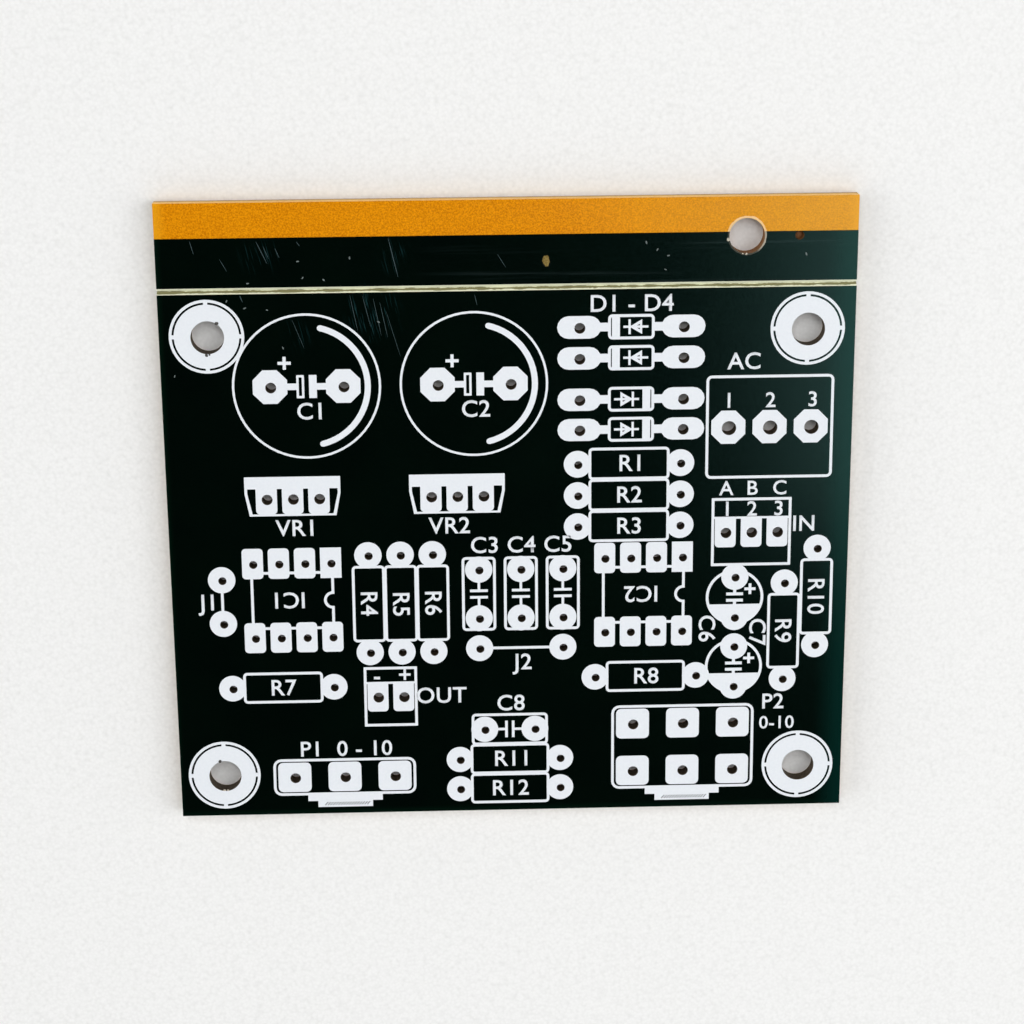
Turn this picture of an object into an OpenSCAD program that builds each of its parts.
// Filter circuit board: a bare single-sided board with a printed component side and a break-off rail.
// The origin is at the middle of the underside. +X runs along the rail, +Y points to it, +Z is the print.

/* [Board] */
// Width along the rail's outer edge
board_w = 66.6; // [64:0.1:80]
// How much narrower the lower edge is, as the sides were sheared askew
side_taper = 0.5; // [0:0.1:1]
// Depth of the finished board, from its lower edge to the score line
main_d = 53.3; // [52:0.1:70]
// Depth of the break-off rail
rail_d = 8.4; // [7:0.1:14]
// Thickness of the laminate
board_t = 1.6; // [1:0.1:3.2]

/* [Score line] */
// Width of the score at its mouth
score_w = 0.6; // [0.3:0.02:1]
// Depth of the score in each face
score_depth = 0.45; // [0.2:0.05:0.48]

/* [Coatings] */
// Thickness of the solder mask
mask_t = 0.03; // [0.02:0.005:0.08]
// Thickness of the printed ink
ink_t = 0.025; // [0.015:0.005:0.06]
// Thickness of the copper foil
copper_t = 0.035; // [0.018:0.001:0.105]
// Strip along the rail's outer edge that has no mask
bare_strip = 3.35; // [1:0.05:4]
// Gap from a land to the edge of the mask round it
mask_gap = 0.1; // [0.04:0.02:0.2]
// Gap from a mounting, tooling or pilot hole to the mask of the solder side
hole_gap = 0.3; // [0.2:0.05:1]
// Length and width of the chip in the rail's mask
chip_size = [1.2, 0.78]; // [0.4:0.02:2]

/* [Holes] */
// Diameter of the four mounting holes
mount_hole = 3.2; // [2.2:0.1:4]
// Mounting holes in from the left side, the right side, the lower edge and the score line
mount_inset = [4.65, 4.56, 4.22, 4.44]; // [4:0.01:7]
// Diameter of the tooling hole in the rail
tool_hole = 3.4; // [2:0.1:4]
// Tooling hole in from the right side and from the rail's outer edge
tool_inset = [10.6, 3.76]; // [2.5:0.02:20]
// Diameter of the pilot hole, in line with the tooling hole
pilot_hole = 0.85; // [0.6:0.05:1.2]
// Pilot hole in from the right side
pilot_inset = 5.6; // [2:0.1:8]
// Lead holes of resistors, small capacitors, amplifiers and links
fine_hole = 0.8; // [0.6:0.05:1]
// Lead holes of diodes, regulators, headers, potentiometers and large capacitors
lead_hole = 1.05; // [0.8:0.05:1.2]
// Lead holes of the supply terminal
terminal_hole = 1.4; // [1:0.05:1.6]

/* [Lands] */
// Diameter of a round land
round_land = 2.68; // [2:0.02:3]
// Width across the flats of an octagon land
octagon_land = 3.3; // [2.6:0.02:3.6]
// Length and width of a diode land
diode_land = [4.2, 2.2]; // [1.8:0.02:4.6]
// Width and length of an amplifier or header land
pin_land = [2.06, 3.1]; // [1.6:0.02:3.6]
// Corner radius of a pin land
pin_corner = 0.38; // [0.1:0.02:0.6]
// Width and length of a potentiometer land
pot_land = [3.3, 3.14]; // [2.4:0.02:3.8]

/* [Print] */
// Line of a component outline
line = 0.27; // [0.15:0.01:0.4]
// Line of a component symbol
thin_line = 0.22; // [0.12:0.01:0.35]
// Outer diameter of the target round a mounting hole
target_d = 7.16; // [6:0.02:9]
// Unprinted ring inside the target's outer line
target_gap = 0.2; // [0.1:0.02:0.4]
// How far the print is out of register with the drilling
print_shift = [-0.07, 0.09]; // [-0.2:0.01:0.2]

/* [Components] */
// Lead spacing of a resistor and of a diode
axial_pitch = 10; // [8:0.1:12]
// Body length and width of a resistor
resistor_body = [7.88, 3.24]; // [2.6:0.02:8]
// Step from one resistor to the next in a group
resistor_step = 3.14; // [2.8:0.01:3.6]
// Body length and width of a diode
diode_body = [4.46, 2.44]; // [2:0.02:5]
// Lead spacing and body diameter of a large capacitor
reservoir = [7, 14.25]; // [5:0.05:16]
// Lead spacing and body diameter of a small electrolytic capacitor
electrolytic = [4.17, 5.7]; // [3:0.01:7]
// Lead spacing of a film capacitor
film_pitch = 5; // [4:0.1:6]
// Body length and width of a film capacitor
film_body = [7.6, 3.34]; // [3:0.02:9]
// Step from one film capacitor to the next
film_step = 4.12; // [3.6:0.01:5]
// Pin spacing of amplifiers, regulators and headers
pin_pitch = 2.54; // [2.2:0.01:3]
// Spacing of an amplifier's two rows
amp_rows = 7.62; // [6.6:0.01:9]
// Body length and width of an amplifier
amp_body = [8.16, 5.96]; // [4:0.02:9]
// Width of a regulator at its tab and at its front
regulator_w = [9.28, 8.4]; // [7:0.02:11]
// Reach of a regulator behind and in front of its pins
regulator_d = [2.2, 1.74]; // [1.6:0.02:3]
// Pin spacing of the supply terminal
terminal_pitch = 4; // [3.6:0.01:5.1]
// Body length and width of the supply terminal
terminal_body = [12.36, 10.28]; // [8:0.02:16]
// Lead spacing of a potentiometer, along and between its rows
pot_pitch = 5; // [4:0.1:6]
// Body length and width of a one-row potentiometer
pot_body = [14.25, 3.9]; // [3:0.05:18]
// Spacing of the short and the long wire link
link_pitch = [4.49, 8.23]; // [3:0.01:12]

/* [Tracks] */
// Width of a supply track
supply_track = 1; // [0.6:0.05:1.2]
// Width of a signal track
signal_track = 0.7; // [0.3:0.05:0.8]

/* [Hidden] */
$fn = 48;

// Heights from the underside, where the mask over the tracks is lowest
laminate_z = copper_t + mask_t;
mask_z = laminate_z + board_t;
ink_z = mask_z + mask_t;
over = 1;

// Edges and middle lines that the layout is measured from
low_w = board_w - side_taper;
left_x = -board_w / 2;
right_x = board_w / 2;
low_y = -(main_d + rail_d) / 2;
score_y = low_y + main_d;
top_y = score_y + rail_d;
mid_y = (low_y + score_y) / 2;
strip_y = top_y - bare_strip;

// Corner radii of the printed outlines and of the lands
body_corner = 0.42;
pot_corner = 0.8;
land_corner = 0.5;
arc_steps = 4;

// Places of the components: x, y and turn
resistors = concat(
    [for (i = [1, 0, -1]) [right_x - 21.64, mid_y + 5.96 + i * resistor_step, 0]],
    [for (i = [0:2]) [left_x + 19.46 + i * resistor_step, mid_y - 4.75, -90]],
    [[left_x + 10.8, low_y + 13.37, 0], [right_x - 19.92, low_y + 13.9, 0]],
    [[right_x - 6.26, mid_y - 8.28, -90], [right_x - 3.1, mid_y - 4.77, -90]],
    [for (i = [1, 0]) [-0.13, low_y + 2.27 + i * resistor_step, 0]]);
diodes = [
    [right_x - 21.48, score_y - 4.05, 180], [right_x - 21.48, score_y - 7.07, 180],
    [right_x - 21.48, score_y - 11.14, 0], [right_x - 21.48, score_y - 14.13, 0]];
reservoirs = [[left_x + 14, score_y - 9.43, 0], [-3.28, score_y - 9.43, 0]];
films = concat(
    [for (i = [-1, 0, 1]) [1.08 + i * film_step, mid_y - 3.91, -90]],
    [[-0.12, low_y + 8.57, 0]]);
electrolytics = [[right_x - 11.15, mid_y - 4.69, -90], [right_x - 11.15, mid_y - 11.89, -90]];
amps = [[left_x + 12.01, mid_y - 4.25, 0], [right_x - 20.17, mid_y - 4.25, 0]];
regulators = [[left_x + 12.32, mid_y + 6.12, 0], [-5.05, mid_y + 6.12, 0]];
terminal = [right_x - 8.04, score_y - 14.09, 0];
input = [right_x - 9.63, mid_y + 2, 0];
output = [left_x + 21.4, low_y + 12.23, 0];
short_link = [left_x + 5.14, mid_y - 4.28, -90];
long_link = [1.08, mid_y - 9.53, 0];
level_pot = [left_x + 16.64, low_y + 3.84, 0];
freq_pot = [right_x - 16.16, low_y + 6.38, 0];
tool_place = [right_x - tool_inset.x, top_y - tool_inset.y];
pilot_place = [right_x - pilot_inset, tool_place.y];
chip_place = [3.64, score_y + 2.48, 96];
mounts = [for (x = [left_x + mount_inset[0], right_x - mount_inset[1]],
    y = [low_y + mount_inset[2], score_y - mount_inset[3]]) [x, y]];

// Where the leads go, from a place and a list of points on the component
function turned(p, a) = [p.x * cos(a) - p.y * sin(a), p.x * sin(a) + p.y * cos(a)];
function leads(places, points) = [for (p = places) for (q = points) [p.x, p.y] + turned(q, p.z)];
function row(n, pitch, y = 0) = [for (i = [0:n - 1]) [(i - (n - 1) / 2) * pitch, y]];
resistor_leads = leads(resistors, row(2, axial_pitch));
diode_leads = leads(diodes, row(2, axial_pitch));
reservoir_leads = leads(reservoirs, row(2, reservoir.x));
film_leads = leads(films, row(2, film_pitch));
electrolytic_leads = leads(electrolytics, row(2, electrolytic.x));
amp_leads = leads(amps, concat(row(4, pin_pitch, amp_rows / 2), row(4, pin_pitch, -amp_rows / 2)));
regulator_leads = leads(regulators, row(3, pin_pitch));
terminal_leads = leads([terminal], row(3, terminal_pitch));
input_leads = leads([input], row(3, pin_pitch));
output_leads = leads([output], row(2, pin_pitch));
link_leads = concat(leads([short_link], row(2, link_pitch.x)), leads([long_link], row(2, link_pitch.y)));
level_leads = leads([level_pot], row(3, pot_pitch));
freq_leads = leads([freq_pot], concat(row(3, pot_pitch, pot_pitch / 2), row(3, pot_pitch, -pot_pitch / 2)));

// Outlines worked out point by point
function arc(r, a, b, n, at = [0, 0]) =
    [for (i = [0:n]) at + r * [cos(a + (b - a) * i / n), sin(a + (b - a) * i / n)]];
function rounded_points(size, r) = let (x = size.x / 2 - r, y = size.y / 2 - r) concat(
    arc(r, 0, 90, arc_steps, [x, y]), arc(r, 90, 180, arc_steps, [-x, y]),
    arc(r, 180, 270, arc_steps, [-x, -y]), arc(r, 270, 360, arc_steps, [x, -y]));
function unit(v) = v / norm(v);
function across(v) = [-v.y, v.x];
function way(points, i) = unit(points[i + 1] - points[i]);
// Offset of a track's corner, mitred between the runs on its two sides
function mitre(points, i) = let (
    n = len(points),
    a = across(way(points, max(i - 1, 0))),
    b = across(way(points, min(i, n - 2))),
    m = unit(a + b)) m / (m * b);
function track_points(points, w) = let (n = len(points)) concat(
    [for (i = [0:n - 1]) points[i] - mitre(points, i) * w / 2],
    [for (i = [n - 1:-1:0]) points[i] + mitre(points, i) * w / 2]);
// From one land to another, straight at first and then at 45 degrees, or the other way about
function bend(a, b, diagonal_first = false) = let (
    d = b - a,
    m = min(abs(d.x), abs(d.y)),
    slant = [sign(d.x), sign(d.y)] * m) diagonal_first ? [a, a + slant, b] : [a, b - slant, b];
// A path of square corners with each corner cut off at 45 degrees
function cornered(points, cut) = let (n = len(points)) [for (i = [0:n - 1])
    each i == 0 || i == n - 1 ? [points[i]]
        : [points[i] - cut * way(points, i - 1), points[i] + cut * way(points, i)]];

// Lands by component and lead, with an amplifier's pins counted as on the part
function res(n, k) = resistor_leads[2 * n - 2 + k];
function dio(n, k) = diode_leads[2 * n - 2 + k];
function cap(n, k) = reservoir_leads[2 * n - 2 + k];
function film(n, k) = film_leads[2 * n - 2 + k];
function elec(n, k) = electrolytic_leads[2 * n - 2 + k];
function amp(n, pin) = amp_leads[8 * n - 8 + (pin <= 4 ? 4 - pin : pin - 1)];
function reg(n, pin) = regulator_leads[3 * n - 4 + pin];

// Lines that the long tracks follow
ground_x = [film(1, 0).x - 2.26, amp(2, 1).x + 2.15];
ground_y = [reg(2, 1).y - 3.2, film(1, 0).y - 2.24, input.y + 2.35];
plus_x = [amp(1, 8).x + 1.68, film(3, 1).x + 2];
plus_y = [reg(1, 3).y - 2.9, ground_y[1] - 1.6];
minus_x = res(2, 0).x - 3.07;
minus_y = film(3, 0).y + 2.2;
tie_x = (cap(1, 1).x + cap(2, 0).x) / 2;
tie_y = reg(1, 2).y + 5.5;
rail_bus_y = score_y - 2.3;
live_y = terminal.y - 2.6;
corner_cut = 0.7;

supply_paths = [
    // Rectified supply, from the diodes through the large capacitors to the regulators
    [dio(1, 1), dio(2, 1)],
    cornered([dio(1, 1), [dio(1, 1).x, rail_bus_y], [cap(1, 0).x, rail_bus_y], cap(1, 0)], 1.6),
    bend(cap(1, 0), reg(1, 1)),
    [dio(3, 0), dio(4, 0)],
    bend(dio(3, 0), cap(2, 1)),
    bend(cap(2, 1), reg(2, 2), true),
    // Ground of the supply
    [cap(1, 1), cap(2, 0)],
    [[tie_x, cap(1, 1).y], [tie_x, tie_y]],
    cornered([reg(1, 2), [reg(1, 2).x, tie_y], [reg(2, 1).x, tie_y], reg(2, 1)], 1),
    bend(terminal_leads[2], input_leads[2]),
    // Alternating supply, from the terminal to the diodes
    [dio(2, 0), dio(3, 1)],
    bend(dio(3, 1), terminal_leads[0]),
    cornered([dio(1, 0), [terminal_leads[1].x, dio(1, 0).y], terminal_leads[1]], 5.2),
    cornered([dio(4, 1), [dio(4, 1).x, live_y], [terminal_leads[1].x, live_y], terminal_leads[1]], 2.3)];

signal_paths = [
    // Ground through the middle of the board to the input
    cornered([
        reg(2, 1), [reg(2, 1).x, ground_y[0]], [ground_x[0], ground_y[0]], [ground_x[0], ground_y[1]],
        [ground_x[1], ground_y[1]], [ground_x[1], ground_y[2]], [input_leads[2].x, ground_y[2]],
        input_leads[2]], corner_cut),
    // Regulated supplies to the amplifiers, the upper one by way of the long link
    cornered([
        reg(1, 3), [reg(1, 3).x, plus_y[0]], [plus_x[0], plus_y[0]], [plus_x[0], amp(1, 8).y],
        amp(1, 8)], corner_cut),
    bend([plus_x[0], plus_y[1]], link_leads[2]),
    cornered([
        link_leads[3], [plus_x[1], link_leads[3].y], [plus_x[1], plus_y[1]], [amp(2, 8).x, plus_y[1]],
        amp(2, 8)], corner_cut),
    cornered([
        reg(2, 3), [minus_x, reg(2, 3).y], [minus_x, minus_y], [amp(2, 4).x, minus_y],
        amp(2, 4)], corner_cut),
    bend(amp(1, 4), link_leads[0]),
    bend(link_leads[1], res(7, 0)),
    // Input and its coupling capacitors
    bend(input_leads[0], elec(1, 0)),
    bend(input_leads[1], res(9, 0)),
    bend(input_leads[2], res(10, 0)),
    bend(res(9, 1), res(10, 1)),
    bend(res(9, 1), elec(2, 1)),
    [elec(1, 1), elec(2, 0)],
    bend(elec(2, 0), res(8, 1)),
    // Right-hand amplifier
    [res(1, 1), res(3, 1)],
    [res(1, 0), res(2, 0)],
    bend(res(3, 1), amp(2, 1)),
    [amp(2, 1), amp(2, 2)],
    cornered([res(3, 0), [amp(2, 3).x, res(3, 0).y], amp(2, 3)], 1.6),
    bend(amp(2, 5), res(8, 0)),
    [amp(2, 6), amp(2, 7)],
    bend(amp(2, 7), freq_leads[1]),
    bend(res(8, 0), freq_leads[0]),
    [elec(2, 1), freq_leads[2]],
    [freq_leads[2], freq_leads[5]],
    [freq_leads[3], freq_leads[4]],
    bend(freq_leads[3], res(12, 1)),
    // Film capacitors and the left-hand amplifier
    [film(1, 0), film(2, 0)],
    [film(1, 1), film(3, 1)],
    bend(film(2, 1), film(4, 1)),
    bend(film(4, 1), res(11, 1)),
    bend(film(4, 0), res(11, 0)),
    [res(11, 0), res(12, 0)],
    [amp(1, 1), amp(1, 2)],
    [amp(1, 3), amp(1, 6)],
    bend(amp(1, 7), res(7, 1)),
    bend(amp(1, 5), res(7, 0)),
    // Level control and output
    [res(4, 0), res(6, 0)],
    [res(5, 1), res(6, 1)],
    bend(res(4, 1), output_leads[0]),
    bend(res(6, 1), output_leads[1]),
    bend(level_leads[2], res(11, 0)),
    bend(level_leads[0], output_leads[0]),
    bend(level_leads[1], output_leads[1], true)];

module at(place) {
    translate([place.x, place.y]) rotate(len(place) > 2 ? place.z : 0) children();
}

module rounded(size, r) {
    polygon(rounded_points(size, r));
}

// A closed printed line just inside the given size
module outline(size, r, w = line) {
    difference() {
        rounded(size, r);
        rounded(size - 2 * [w, w], max(r - w, 0.05));
    }
}

module circle_line(d, w = line) {
    difference() {
        circle(d = d);
        circle(d = d - 2 * w);
    }
}

module octagon(flats) {
    rotate(22.5) circle(d = flats / cos(22.5), $fn = 8);
}

module cross(size, w) {
    square([size, w], center = true);
    square([w, size], center = true);
}

module board_outline() {
    polygon([[-low_w / 2, low_y], [low_w / 2, low_y], [board_w / 2, top_y], [-board_w / 2, top_y]]);
}

// Mounting, tooling and pilot holes, with the gap that a coating leaves round them
module fixing_holes(gap = 0) {
    for (p = mounts) at(p) circle(d = mount_hole + 2 * gap);
    at(tool_place) circle(d = tool_hole + 2 * gap);
    at(pilot_place) circle(d = pilot_hole + 2 * gap);
}

// Every drilled hole
module drills() {
    fixing_holes();
    for (p = concat(resistor_leads, film_leads, electrolytic_leads, amp_leads, link_leads))
        at(p) circle(d = fine_hole);
    for (p = concat(diode_leads, reservoir_leads, regulator_leads, input_leads, output_leads,
        level_leads, freq_leads)) at(p) circle(d = lead_hole);
    for (p = terminal_leads) at(p) circle(d = terminal_hole);
}

// Every land, grown all round for the openings in the mask
module lands(grow = 0) {
    both = 2 * [grow, grow];
    for (p = concat(resistor_leads, film_leads, electrolytic_leads, link_leads))
        at(p) circle(d = round_land + 2 * grow);
    for (p = concat(reservoir_leads, terminal_leads)) at(p) octagon(octagon_land + 2 * grow);
    for (p = diode_leads) at(p) rounded(diode_land + both, diode_land.y / 2 + grow);
    for (p = concat(amp_leads, input_leads, output_leads, regulator_leads))
        at(p) rounded(pin_land + both, pin_corner);
    for (p = concat(level_leads, freq_leads)) at(p) rounded(pot_land + both, land_corner);
}

// Every track, grown all round for the mask that covers it
module tracks(grow = 0) {
    for (path = supply_paths) polygon(track_points(path, supply_track + 2 * grow));
    for (path = signal_paths) polygon(track_points(path, signal_track + 2 * grow));
}

// Component prints, each about its own middle with its leads along x
module resistor_print() {
    outline(resistor_body, body_corner);
}

module diode_print() {
    neck = 0.84;
    band = 0.76;
    slit = 0.1;
    arrow = [1.2, 1.45];
    stem = 2.4;
    window = diode_body.x / 2 - line - slit - band;
    outline(diode_body, body_corner);
    translate([window, -diode_body.y / 2 + line / 2]) square([band, diode_body.y - line]);
    for (s = [-1, 1])
        translate([s * (axial_pitch / 2 - diode_land.x / 2 + diode_body.x / 2) / 2, 0])
            square([axial_pitch / 2 - diode_land.x / 2 - diode_body.x / 2 + 2 * thin_line, neck], center = true);
    translate([(window - diode_body.x / 2 + line) / 2, 0]) {
        square([stem, thin_line], center = true);
        translate([arrow.x / 2 - thin_line / 2, -arrow.y / 2]) square([thin_line, arrow.y]);
        difference() {
            polygon([[-arrow.x / 2, -arrow.y / 2], [arrow.x / 2, 0], [-arrow.x / 2, arrow.y / 2]]);
            translate([-arrow.x / 2 + thin_line, 0]) polygon([[0, -0.28], [0.46, 0], [0, 0.28]]);
        }
    }
}

module reservoir_print() {
    plate = [0.74, 2.26];
    gap = 0.46;
    bar = 0.64;
    mark = 0.58;
    mark_r = 5.85;
    mark_a = 76;
    plus_size = 1.26;
    lead = reservoir.x / 2;
    plate_x = gap / 2 + plate.x / 2;
    circle_line(reservoir.y, thin_line);
    polygon(concat(
        arc(mark_r + mark / 2, -mark_a, mark_a, 32),
        arc(mark / 2, mark_a, mark_a + 180, arc_steps, mark_r * [cos(mark_a), sin(mark_a)]),
        arc(mark_r - mark / 2, mark_a, -mark_a, 32),
        arc(mark / 2, 180 - mark_a, 360 - mark_a, arc_steps, mark_r * [cos(mark_a), -sin(mark_a)])));
    translate([plate_x, 0]) square(plate, center = true);
    translate([-plate_x, 0]) outline(plate, 0.06, thin_line);
    for (s = [-1, 1])
        translate([s * (plate_x + plate.x / 2 - thin_line / 2 + lead) / 2, 0])
            square([lead - plate_x - plate.x / 2 + thin_line, bar], center = true);
    translate([-2.07, 2.31]) cross(plus_size, 0.3);
}

module film_print() {
    plate = [0.27, 1.76];
    gap = 0.67;
    outline(film_body, body_corner);
    for (s = [-1, 1]) {
        translate([s * gap / 2, 0]) square(plate, center = true);
        translate([s * (gap + film_pitch) / 4, 0]) square([(film_pitch - gap) / 2, 0.25], center = true);
    }
}

module electrolytic_print() {
    plate = [0.3, 1.66];
    gap = 0.65;
    fill = 0.73;
    d = electrolytic.y;
    circle_line(d);
    intersection() {
        circle(d = d - line);
        translate([fill, -d / 2]) square(d);
    }
    for (s = [-1, 1]) translate([s * gap / 2, 0]) square(plate, center = true);
    translate([-electrolytic.x / 4 - gap / 4, 0]) square([electrolytic.x / 2 - gap / 2, plate.x], center = true);
    translate([gap / 2, -plate.x / 2]) square([fill, plate.x]);
    translate([-0.83, 1.51]) cross(1.1, 0.28);
}

module amp_print() {
    notch = 0.76;
    b = amp_body / 2;
    pin_one = [row(4, pin_pitch)[3].x, amp_rows / 2];
    at(pin_one) square(pin_land, center = true);
    for (s = [-1, 1]) translate([0, s * (b.y - line / 2)]) square([amp_body.x, line], center = true);
    translate([-b.x + line / 2, 0]) square([line, amp_body.y], center = true);
    for (s = [-1, 1])
        translate([b.x - line, s > 0 ? notch - line / 2 : -b.y]) square([line, b.y - notch + line / 2]);
    translate([b.x - line / 2, 0])
        polygon(concat(arc(notch + line / 2, 90, 270, 16), arc(notch - line / 2, 270, 90, 16)));
}

module regulator_print() {
    band = 1.21;
    knee = 0.53;
    foot_line = 0.2;
    w = regulator_w / 2;
    d = regulator_d;
    lean = (w.x - w.y) / (knee + d.y);
    inner = w - [line, line + lean * (line - foot_line)];
    difference() {
        polygon([[-w.x, d.x], [-w.x, knee], [-w.y, -d.y], [w.y, -d.y], [w.x, knee], [w.x, d.x]]);
        polygon([
            [-inner.x, d.x - band], [-inner.x, knee], [-inner.y, -d.y + foot_line],
            [inner.y, -d.y + foot_line], [inner.x, knee], [inner.x, d.x - band]]);
    }
    for (p = row(3, pin_pitch)) at([p.x, (d.x - band) / 2]) square([pin_land.x, d.x - band + line], center = true);
}

module terminal_print() {
    outline(terminal_body, 0.55);
}

module header_print(n, reach) {
    shelf = 1.45;
    w = n * pin_pitch + 0.2;
    outline([w, 2 * reach], 0.06, line);
    translate([0, shelf]) square([w - line, thin_line], center = true);
    for (p = row(n, pin_pitch)) at([p.x, shelf / 2]) square([pin_land.x, shelf], center = true);
}

module pot_print(rows) {
    body = pot_body + [0, (rows - 1) * pot_pitch];
    step_w = [7.46, 5.48];
    step_d = [0.76, 0.66];
    slit = [0.1, 0.34];
    slits = 17;
    slant = 0.3;
    foot = -body.y / 2;
    outline(body, pot_corner);
    translate([-step_w.x / 2, foot - step_d.x + line / 2]) square([step_w.x, step_d.x]);
    difference() {
        translate([-step_w.y / 2, foot - step_d.x - step_d.y + line / 2])
            square([step_w.y, step_d.y + line / 2]);
        for (i = [0:slits - 1])
            translate([(i - (slits - 1) / 2) * (step_w.y - 3 * slit.y) / slits, foot - step_d.x - slit.y])
                polygon([[0, 0], [slit.x, 0], [slit.x + slant, slit.y], [slant, slit.y]]);
    }
}

module link_print(pitch) {
    square([pitch, line], center = true);
}

module target_print() {
    bridge = 0.4;
    disc = target_d - 2 * line - 2 * target_gap;
    circle_line(target_d);
    circle(d = disc);
    for (a = [0:90:270]) rotate(a) translate([target_d / 2 - line - target_gap / 2, 0])
        square([target_gap + line, bridge], center = true);
}

module print_art() {
    lands();
    for (p = resistors) at(p) resistor_print();
    for (p = diodes) at(p) diode_print();
    for (p = reservoirs) at(p) reservoir_print();
    for (p = films) at(p) film_print();
    for (p = electrolytics) at(p) electrolytic_print();
    for (p = amps) at(p) amp_print();
    for (p = regulators) at(p) regulator_print();
    at(terminal) terminal_print();
    at(input) header_print(3, 3.46);
    at(output) header_print(2, 3.12);
    at(level_pot) pot_print(1);
    at(freq_pot) pot_print(2);
    at(short_link) link_print(link_pitch.x);
    at(long_link) link_print(link_pitch.y);
    for (p = mounts) at(p) target_print();
}

// Area that has mask: all but the bare strip and the score line
module mask_area() {
    difference() {
        board_outline();
        translate([-board_w, strip_y]) square([2 * board_w, bare_strip + over]);
        translate([0, score_y]) square([2 * board_w, score_w], center = true);
    }
}

// The laminate with its score line in both faces
module laminate() {
    color("#d9920f") difference() {
        translate([0, 0, laminate_z]) linear_extrude(board_t) difference() {
            board_outline();
            drills();
        }
        for (face = [0, 1])
            translate([0, score_y, laminate_z + face * board_t]) rotate([90, 0, 90])
                linear_extrude(2 * board_w, center = true)
                    polygon([[-score_w / 2, 0], [0, (face ? -1 : 1) * score_depth], [score_w / 2, 0]]);
    }
}

module top_mask() {
    color("#07100d") translate([0, 0, mask_z]) linear_extrude(mask_t) difference() {
        mask_area();
        drills();
        at(chip_place) rounded(chip_size, chip_size.y / 2);
    }
}

module legend() {
    color("#eef0f6") translate([0, 0, ink_z]) linear_extrude(ink_t) difference() {
        translate(print_shift) print_art();
        drills();
    }
}

module copper_foil() {
    color("#c87a45") translate([0, 0, mask_t]) linear_extrude(copper_t) difference() {
        union() {
            lands();
            tracks();
        }
        drills();
    }
}

// Mask of the solder side: it follows the laminate, rises over the tracks, and is open at lands and holes
module bottom_mask() {
    color("#0b1612") difference() {
        union() {
            translate([0, 0, copper_t]) linear_extrude(mask_t) difference() {
                mask_area();
                fixing_holes(hole_gap);
            }
            linear_extrude(copper_t + mask_t / 2) tracks(mask_t);
        }
        translate([0, 0, -over]) linear_extrude(2 * over) lands(mask_gap);
        translate([0, 0, mask_t]) linear_extrude(over) tracks();
    }
}

laminate();
top_mask();
legend();
copper_foil();
bottom_mask();
